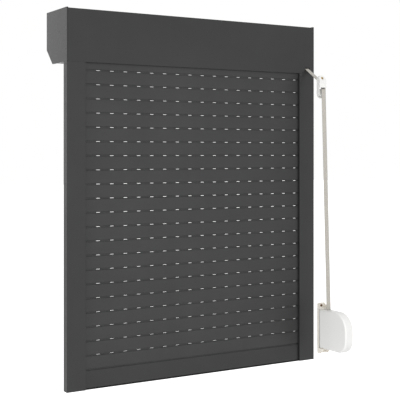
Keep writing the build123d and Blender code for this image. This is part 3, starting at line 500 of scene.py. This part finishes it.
steel_grain = steel_grain_group()
zinc_plate = bare_metal("zinc_plate", (0.62, 0.63, 0.62), rough=0.38, spangle_scale=180)
ground_steel = bare_metal("ground_steel", (0.56, 0.57, 0.58), rough=0.25, spangle_scale=900)
spring_strip = bare_metal("spring_strip", (0.16, 0.18, 0.22), rough=0.33, spangle_scale=500)
for name in ("shaft_tube", "winder_swivel_pins"):
    finish_node(name, zinc_plate)
for name in ("bearings", "guide_axle", "winder_axle"):
    finish_node(name, ground_steel)
for name in ("suspension_springs", "winder_spring"):
    finish_node(name, spring_strip)


# Strap: a woven webbing 14 mm wide, with fine warp ribs crossed by a slanting weft.
# It leaves the coil on the pulley, bends over the outlet's lip and the guide roller, and
# runs down into the winder, where it goes round the spring loaded spool.
strap_half = 0.007
strap_thick = 0.0012
strap_x = 0.376


def webbing():
    """Woven webbing, drawn on the strap's own width and length."""
    cloth = bpy.data.materials.new("strap_webbing")
    cloth.use_nodes = True
    tree = cloth.node_tree
    shader = tree.nodes["Principled BSDF"]
    shader.inputs["Sheen Weight"].default_value = 0.25
    place = tree.nodes.new("ShaderNodeUVMap")
    place.uv_map = "weave"
    yarns = []
    for along, scale, distortion in (("X", 320, 0.4), ("DIAGONAL", 260, 0.6)):
        yarn = tree.nodes.new("ShaderNodeTexWave")
        yarn.wave_type = "BANDS"
        yarn.bands_direction = along
        yarn.inputs["Scale"].default_value = scale
        yarn.inputs["Distortion"].default_value = distortion
        tree.links.new(place.outputs["UV"], yarn.inputs["Vector"])
        yarns.append(yarn.outputs["Fac"])
    woven = worked_out(tree, "MULTIPLY", *yarns)
    tone = tree.nodes.new("ShaderNodeMix")
    tone.data_type = "RGBA"
    tone.inputs[6].default_value = (0.39, 0.37, 0.335, 1)
    tone.inputs[7].default_value = (0.69, 0.665, 0.61, 1)
    tree.links.new(woven.outputs["Value"], tone.inputs[0])
    tree.links.new(tone.outputs[2], shader.inputs["Base Color"])
    matt = mapped(tree, woven.outputs["Value"], 0.95, 0.75)
    tree.links.new(matt.outputs["Result"], shader.inputs["Roughness"])
    bump = bumped(tree, woven.outputs["Value"], strength=0.8, distance=0.0003)
    tree.links.new(bump.outputs["Normal"], shader.inputs["Normal"])
    return cloth


def strap_start(y, z):
    """Bmesh with the strap's first weft row, which lies along X."""
    shape = bmesh.new()
    run = shape.verts.layers.float.new("run")
    bmesh.ops.create_grid(shape, x_segments=6, y_segments=1, size=1)
    bmesh.ops.delete(shape, geom=[vert for vert in shape.verts if vert.co.y > 0], context="VERTS")
    for vert in shape.verts:
        vert.co = (strap_x + vert.co.x * strap_half, y, z)
        vert[run] = 0
    return shape, run, list(shape.edges)


def strap_step(shape, run, row, length):
    """Extrude the last row of edges and return the new one, to be moved by the caller."""
    grown = bmesh.ops.extrude_edge_only(shape, edges=row)["geom"]
    verts = [item for item in grown if isinstance(item, bmesh.types.BMVert)]
    for vert in verts:
        vert[run] += length
    return verts, [item for item in grown if isinstance(item, bmesh.types.BMEdge)]


def strap_line(shape, run, row, start, end, steps):
    """Run the strap straight from start to end, both (y, z)."""
    step = Vector((0, end[0] - start[0], end[1] - start[1])) / steps
    for _ in range(steps):
        verts, row = strap_step(shape, run, row, step.length)
        bmesh.ops.translate(shape, verts=verts, vec=step)
    return row


def strap_arc(shape, run, row, centre, radius, angle, steps):
    """Turn the strap round centre (y, z) by angle about X."""
    turn = Matrix.Rotation(angle / steps, 3, "X")
    for _ in range(steps):
        verts, row = strap_step(shape, run, row, abs(angle / steps) * radius)
        bmesh.ops.rotate(shape, verts=verts, cent=(0, *centre), matrix=turn)
    return row


def strap_piece(name, shape, run, body, *stands_for):
    """Give the strip its UVs in metres and its thickness."""
    uv = shape.loops.layers.uv.new("weave")
    for face in shape.faces:
        for corner in face.loops:
            corner[uv].uv = (corner.vert.co.x - strap_x, corner.vert[run])
    bmesh.ops.recalc_face_normals(shape, faces=shape.faces)
    piece = show_piece(name, shape, strap_cloth, body)
    thick = piece.modifiers.new("thickness", "SOLIDIFY")
    thick.thickness = strap_thick
    thick.offset = 0
    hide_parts(*stands_for)
    return piece


def leave_and_meet(centre_a, radius_a, side_a, centre_b, radius_b, side_b):
    """Straight run from circle a to circle b; side is 1 where the centre is on its left."""
    across = Vector(centre_b) - Vector(centre_a)
    offset = side_b * radius_b - side_a * radius_a
    run = math.sqrt(across.length_squared - offset * offset)
    heading = math.atan2(across.y, across.x) - math.atan2(offset, run)
    left = Vector((-math.sin(heading), math.cos(heading)))
    return heading, Vector(centre_a) - side_a * radius_a * left, Vector(centre_b) - side_b * radius_b * left


strap_cloth = webbing()
pulley_at, pulley_reach = (0.0685, 0), 0.047
lip_at, lip_reach = (0.004, -0.0597), 0.0037
roller_at, roller_reach = (-0.0713, -0.1115), 0.0059
spool_at, spool_reach = (-0.1363, -0.8218), 0.0327
inside, off_pulley, on_lip = leave_and_meet(pulley_at, pulley_reach, -1, lip_at, lip_reach, 1)
outside, off_lip, on_roller = leave_and_meet(lip_at, lip_reach, 1, roller_at, roller_reach, 1)
downward, off_roller, on_spool = leave_and_meet(roller_at, roller_reach, 1, spool_at, spool_reach, -1)
outside += 2 * math.pi if outside < inside - math.pi else 0
downward += 2 * math.pi if downward < outside - math.pi else 0
shape, run, row = strap_start(*off_pulley)
row = strap_line(shape, run, row, off_pulley, on_lip, steps=8)
row = strap_arc(shape, run, row, lip_at, lip_reach, outside - inside, steps=6)
row = strap_line(shape, run, row, off_lip, on_roller, steps=10)
row = strap_arc(shape, run, row, roller_at, roller_reach, downward - outside, steps=10)
row = strap_line(shape, run, row, off_roller, on_spool, steps=60)
row = strap_arc(shape, run, row, spool_at, spool_reach, -math.pi / 2, steps=10)
long_strap = strap_piece("strap_run", shape, run, None, "strap", "winder_strap")
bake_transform(long_strap)


# Strap coils: the turns wound on the shaft's pulley and on the winder's spool.
# Each turn lies on the one before, so a half turn's centre moves by half a layer.
def strap_coil(name, centre, first_reach, half_turns, body, node):
    """Wound strap made of half turns about alternating centres."""
    layer = 0.00165
    shape, run, row = strap_start(centre[0] - first_reach, centre[1])
    reach = first_reach
    for turn in range(half_turns):
        middle = centre[0] - (turn % 2) * layer / 2
        row = strap_arc(shape, run, row, (middle, centre[1]), reach, math.pi, steps=16)
        reach += layer / 2
    return strap_piece(name, shape, run, body, node)


pulley_core = 0.0389
spool_core = 0.0279
pulley_half_turns = 9
spool_half_turns = 5
strap_coil("strap_coil_on_pulley", pulley_at, pulley_core, pulley_half_turns, "shaft", "pulley_strap_coil")
strap_coil("strap_coil_on_spool", spool_at, spool_core, spool_half_turns, "spool", "spool_strap_coil")


# Strap guide: a white moulded plate and hood on the wall, open below.
# A small plastic roller on a steel axle between the hood's cheeks turns the strap downwards.
# A short strip of dark grey pile sits between the strap and the hood's lower edge; its dark grey is partly a
# pile and partly painted shade, the shade that falls under the hood.
white = (0.785, 0.785, 0.77)
roller_white = (0.66, 0.65, 0.62)
guide_ease = 0.0005
white_plastic = moulded(
    "white_plastic", white, rough=0.36, grain_scale=900, grain_height=0.00001, uneven=0.012
)
roller_plastic = moulded("roller_plastic", roller_white, rough=0.4, grain_scale=700, grain_height=0.00002)
for name in ("guide_plate", "guide_hood"):
    eased_copy(name, guide_ease, white_plastic, "box", steps=3)
roller_low, roller_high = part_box("guide_roller")
roller_rim = roller_at[0] - roller_low.y
roller_half = (roller_high.x - roller_low.x) / 2
roller_bore = 0.00155
shoulder = (
    (roller_half, roller_bore),
    (roller_half, roller_rim - 0.0005),
    (roller_half - 0.0004, roller_rim),
    (roller_half - 0.0012, roller_rim),
    (roller_half - 0.0017, roller_rim - 0.0003),
)
roller_outline = [(-along, reach) for along, reach in shoulder]
roller_outline.append((0, roller_rim - 0.0001))
roller_outline.extend(reversed(shoulder))
roller_outline.append((-roller_half, roller_bore))
roller = turned(
    [(strap_x + along, roller_at[0] + reach, roller_at[1]) for along, reach in roller_outline],
    (strap_x, *roller_at),
    (1, 0, 0),
    steps=40,
)
roller_body = "guide_roller_body"
roller_piece = show_piece("guide_roller_turned", roller, roller_plastic, roller_body)
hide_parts("guide_roller")
# Dark grey of the pile strip: partly the pile's own colour, partly painted shade under the hood's lower edge.
pile_and_shade_grey = (0.105, 0.098, 0.092)
pile_and_shade_paint = moulded("pile_and_shade_paint", pile_and_shade_grey, rough=0.85, grain_scale=2600, grain_height=0.0003)
pile_wide, pile_thick, pile_long = 0.0135, 0.0007, 0.0062
pile_tips = (0.3724, -0.07825, -0.1214)
pile_uneven = 0.0007
pile_and_shade_strip = bmesh.new()
made = bmesh.ops.create_grid(pile_and_shade_strip, x_segments=34, y_segments=2, size=0.5)["verts"]
bmesh.ops.scale(pile_and_shade_strip, verts=made, vec=(pile_wide, pile_thick, 1))
bmesh.ops.translate(pile_and_shade_strip, verts=made, vec=pile_tips)
grown = bmesh.ops.extrude_face_region(pile_and_shade_strip, geom=list(pile_and_shade_strip.faces), use_keep_orig=True)["geom"]
rooted = [item for item in grown if isinstance(item, bmesh.types.BMVert)]
bmesh.ops.translate(pile_and_shade_strip, verts=rooted, vec=(0, 0, pile_long))
for vert in made:
    vert.co.z += pick.uniform(0, pile_uneven)
bmesh.ops.recalc_face_normals(pile_and_shade_strip, faces=pile_and_shade_strip.faces)
show_piece("guide_pile_and_shade", pile_and_shade_strip, pile_and_shade_paint, "box")


# Winder: two white shells that swing on a plate screwed to the wall.
# The plate is bent steel with cream enamel, and its brackets carry the swivel pins.
# Its long sides are folded forward between the brackets.
cream = (0.86, 0.82, 0.75)
shell_ease = 0.0004
plate_ease = 0.0003
white_enamel = baked_paint("white_enamel", cream, dull=0.22, peel_scale=900, peel_height=0.00002)
for name in ("winder_shell_left", "winder_shell_right"):
    eased_copy(name, shell_ease, white_plastic, "winder", steps=3)
eased_copy("winder_plate", plate_ease, white_enamel, "box")
shell_low, shell_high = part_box("winder_shell_left")
plate_low, plate_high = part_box("winder_plate")
fold_thick, fold_deep = 0.0018, 0.0058
fold_long = shell_high.z - shell_low.z + 0.002
fold_y = plate_high.y - 0.0039
fold_z = (shell_low.z + shell_high.z) / 2
edges = bmesh.new()
for x in (plate_low.x + fold_thick / 2, plate_high.x - fold_thick / 2):
    made = bmesh.ops.create_cube(edges, size=1)["verts"]
    bmesh.ops.scale(edges, verts=made, vec=(fold_thick, fold_deep, fold_long))
    bmesh.ops.translate(edges, verts=made, vec=(x, fold_y, fold_z))
bmesh.ops.bevel(edges, geom=list(edges.edges), offset=plate_ease, segments=2, profile=0.5, affect="EDGES")
show_piece("winder_plate_edges", edges, white_enamel, "box")


# Screws: pan heads with a cross recess. Zinc plated ones hold the cover and the shells,
# a brass one the strap guide, and two bronzed ones the winder's plate.
def carved(blank, tool):
    """The blank's mesh with the tool's shape cut out of it."""
    pair = []
    for name, shape in (("blank", blank), ("tool", tool)):
        mesh = bpy.data.meshes.new(name)
        shape.to_mesh(mesh)
        shape.free()
        pair.append(bpy.data.objects.new(name, mesh))
        bpy.context.scene.collection.objects.link(pair[-1])
    cut = pair[0].modifiers.new("cut", "BOOLEAN")
    cut.operation = "DIFFERENCE"
    cut.solver = "EXACT"
    cut.object = pair[1]
    result = bpy.data.meshes.new_from_object(pair[0].evaluated_get(bpy.context.evaluated_depsgraph_get()))
    for holder in pair:
        mesh = holder.data
        bpy.data.objects.remove(holder)
        bpy.data.meshes.remove(mesh)
    return result


def cross_tool(top, reach, wide, depth):
    """Tapered cross that cuts a screw's recess."""
    taper = 0.6
    shape = bmesh.new()
    bmesh.ops.create_grid(shape, x_segments=3, y_segments=3, size=reach)
    for vert in shape.verts:
        for axis in (0, 1):
            inner = abs(vert.co[axis]) < reach * 0.9
            vert.co[axis] = math.copysign(wide / 2 if inner else reach, vert.co[axis])
    middles = [(face, face.calc_center_median()) for face in shape.faces]
    corners = [face for face, middle in middles if abs(middle.x) > wide and abs(middle.y) > wide]
    bmesh.ops.delete(shape, geom=corners, context="FACES")
    bmesh.ops.translate(shape, verts=shape.verts, vec=(0, 0, top))
    grown = bmesh.ops.extrude_face_region(shape, geom=list(shape.faces), use_keep_orig=True)["geom"]
    deep = [item for item in grown if isinstance(item, bmesh.types.BMVert)]
    bmesh.ops.translate(shape, verts=deep, vec=(0, 0, -depth))
    bmesh.ops.scale(shape, verts=deep, vec=(taper, taper, 1))
    bmesh.ops.recalc_face_normals(shape, faces=shape.faces)
    return shape


def screw_mesh(head_radius, head_height, shank_radius, shank_length):
    """A pan head screw that stands up, with its seat at zero."""
    dome_shares = ((0, 1), (0.45, 0.97), (0.75, 0.80), (0.93, 0.50), (1, 0.15), (0.97, 0))
    outline = [(head_radius * reach, head_height * high) for reach, high in dome_shares]
    outline += [(shank_radius, 0), (shank_radius, -shank_length), (0, -shank_length)]
    blank = turned([(reach, 0, high) for reach, high in outline], (0, 0, 0), (0, 0, 1), steps=32)
    overrun = 0.0004
    cross_reach, cross_wide, cross_depth = head_radius * 0.52, head_radius * 0.2, head_height * 0.62
    tool = cross_tool(head_height + overrun, cross_reach, cross_wide, cross_depth + overrun)
    return carved(blank, tool)


def set_screws(name, screw, seats, outward, material, body, slot, *stands_for):
    """Copies of one screw at each seat, heads outward, in one piece."""
    shape = bmesh.new()
    facing = Vector(outward).to_track_quat("Z", "Y").to_matrix().to_4x4()
    for seat in seats:
        placed = screw.copy()
        placed.transform(Matrix.Translation(seat) @ facing)
        shape.from_mesh(placed)
        bpy.data.meshes.remove(placed)
    piece = show_piece(name, shape, material, body)
    if stands_for:
        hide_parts(*stands_for)
    return piece


brass = bare_metal("brass", (0.50, 0.36, 0.16), rough=0.32, spangle_scale=700)
bronzed_steel = bare_metal("bronzed_steel", (0.17, 0.11, 0.07), rough=0.36, spangle_scale=700)
roomward, down, right = (0, -1, 0), (0, 0, -1), (1, 0, 0)
cover_head = 0.0032
cover_low, cover_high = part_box("cover_screws")
cover_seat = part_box("box_cover")[0].z
cover_seats = [
    (x, y, cover_seat)
    for x in (cover_low.x + cover_head, cover_high.x - cover_head)
    for y in (cover_low.y + cover_head, cover_high.y - cover_head)
]
cover_screw = screw_mesh(cover_head, head_height=0.0016, shank_radius=0.0016, shank_length=0.0070)
set_screws("cover_screw_set", cover_screw, cover_seats, down, zinc_plate, "box", "zinc_steel", "cover_screws")
recess = 0.0015
shell_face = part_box("winder_shell_right")[1].x
shell_seats = [
    (shell_face - recess, y, z)
    for y, z in ((-0.090, -0.77225), (-0.090, -0.87135), (-0.1885, -0.8218))
]
shell_screw = screw_mesh(0.0028, head_height=0.0015, shank_radius=0.0015, shank_length=0.0190)
set_screws(
    "shell_screw_set", shell_screw, shell_seats, right, zinc_plate, "winder", "zinc_steel", "shell_screws"
)
wall_screw = screw_mesh(0.0038, head_height=0.0022, shank_radius=0.0019, shank_length=0.0022)
guide_screw = screw_mesh(0.0038, head_height=0.0034, shank_radius=0.0019, shank_length=0.0022)
guide_seats = [(0.373, -0.073, -0.0893)]
plate_seats = [(strap_x, -0.067, -0.7563), (strap_x, -0.067, -0.8873)]
set_screws("guide_wall_screw", guide_screw, guide_seats, roomward, brass, "box", "brass_steel")
set_screws("winder_wall_screws", wall_screw, plate_seats, roomward, bronzed_steel, "box", "brass_steel")


# Studio: a pale floor well below the window, a white surround and broad soft lamps.
# The surround is white to the eye and in reflections, and lights the object evenly.
def seen_or_mirrored(tree):
    """Two masks: camera rays alone, and camera, glossy and transmission rays together."""
    path = tree.nodes.new("ShaderNodeLightPath")
    seen = worked_out(tree, "MAXIMUM", path.outputs["Is Camera Ray"], path.outputs["Is Glossy Ray"])
    also = worked_out(tree, "MAXIMUM", seen.outputs["Value"], path.outputs["Is Transmission Ray"])
    return path.outputs["Is Camera Ray"], also.outputs["Value"]


def studio_floor(z, half):
    """Pale floor that shows white and keeps the object's soft shadow."""
    shape = bmesh.new()
    bmesh.ops.create_grid(shape, x_segments=1, y_segments=1, size=half)
    bmesh.ops.translate(shape, verts=shape.verts, vec=(0, 0, z))
    mesh = bpy.data.meshes.new("studio_floor")
    shape.to_mesh(mesh)
    shape.free()
    floor = bpy.data.objects.new("studio_floor", mesh)
    bpy.context.scene.collection.objects.link(floor)
    pale = bpy.data.materials.new("studio_floor")
    pale.use_nodes = True
    tree = pale.node_tree
    shader = tree.nodes["Principled BSDF"]
    shader.inputs["Base Color"].default_value = (0.9, 0.9, 0.9, 1)
    shader.inputs["Roughness"].default_value = 0.9
    shader.inputs["Specular IOR Level"].default_value = 0
    shader.inputs["Emission Color"].default_value = (1, 1, 1, 1)
    mirrored_glow, seen_glow = 0.15, 0.43
    camera_ray, drawn_ray = seen_or_mirrored(tree)
    glow = worked_out(tree, "MULTIPLY", drawn_ray, mirrored_glow)
    plain = worked_out(tree, "MULTIPLY_ADD", camera_ray, seen_glow)
    tree.links.new(glow.outputs["Value"], plain.inputs[2])
    tree.links.new(plain.outputs["Value"], shader.inputs["Emission Strength"])
    mesh.materials.append(pale)


def studio_surround(strength):
    """White world to the camera and to reflections, and an even light otherwise."""
    world = bpy.data.worlds.new("studio_surround")
    bpy.context.scene.world = world
    world.use_nodes = True
    tree = world.node_tree
    back = tree.nodes["Background"]
    back.inputs["Color"].default_value = (1, 1, 1, 1)
    level = mapped(tree, seen_or_mirrored(tree)[1], strength, 1)
    tree.links.new(level.outputs["Result"], back.inputs["Strength"])


def studio_lamp(name, place, target, wide, tall, power):
    """Broad soft lamp that faces the target."""
    data = bpy.data.lights.new(name, "AREA")
    data.shape = "RECTANGLE"
    data.size = wide
    data.size_y = tall
    data.energy = power
    lamp = bpy.data.objects.new(name, data)
    lamp.location = place
    lamp.rotation_euler = (Vector(target) - Vector(place)).to_track_quat("-Z", "Y").to_euler()
    bpy.context.scene.collection.objects.link(lamp)


object_middle = (0, 0.03, -0.43)
studio_floor(z=-1.45, half=30)
studio_surround(strength=0.8)
studio_lamp("room_lamp", (-1.7, -3.4, 1.2), object_middle, wide=2.2, tall=2.2, power=50)
studio_lamp("side_lamp", (-3.8, -0.5, 0.4), object_middle, wide=2.6, tall=2.6, power=42)
studio_lamp("front_panel", (1.025, -2.3, -0.56), (1.025, 0, -0.56), wide=1.25, tall=1.74, power=5)
studio_lamp("cap_panel", (-0.40, 0.95, 0), (-0.40, 0, 0), wide=0.5, tall=1.1, power=1.4)

lens_data = bpy.data.cameras.new("photo_camera")
lens_data.sensor_width = 36
lens_data.lens = 86.263
lens_data.shift_y = -0.11761
photo_camera = bpy.data.objects.new("photo_camera", lens_data)
photo_camera.location = (-1.37343, -2.30518, -0.30834)
photo_camera.rotation_euler = (math.pi / 2, 0, -0.53757)
bpy.context.scene.collection.objects.link(photo_camera)
bpy.context.scene.camera = photo_camera
bpy.context.scene.view_settings.view_transform = "Standard"
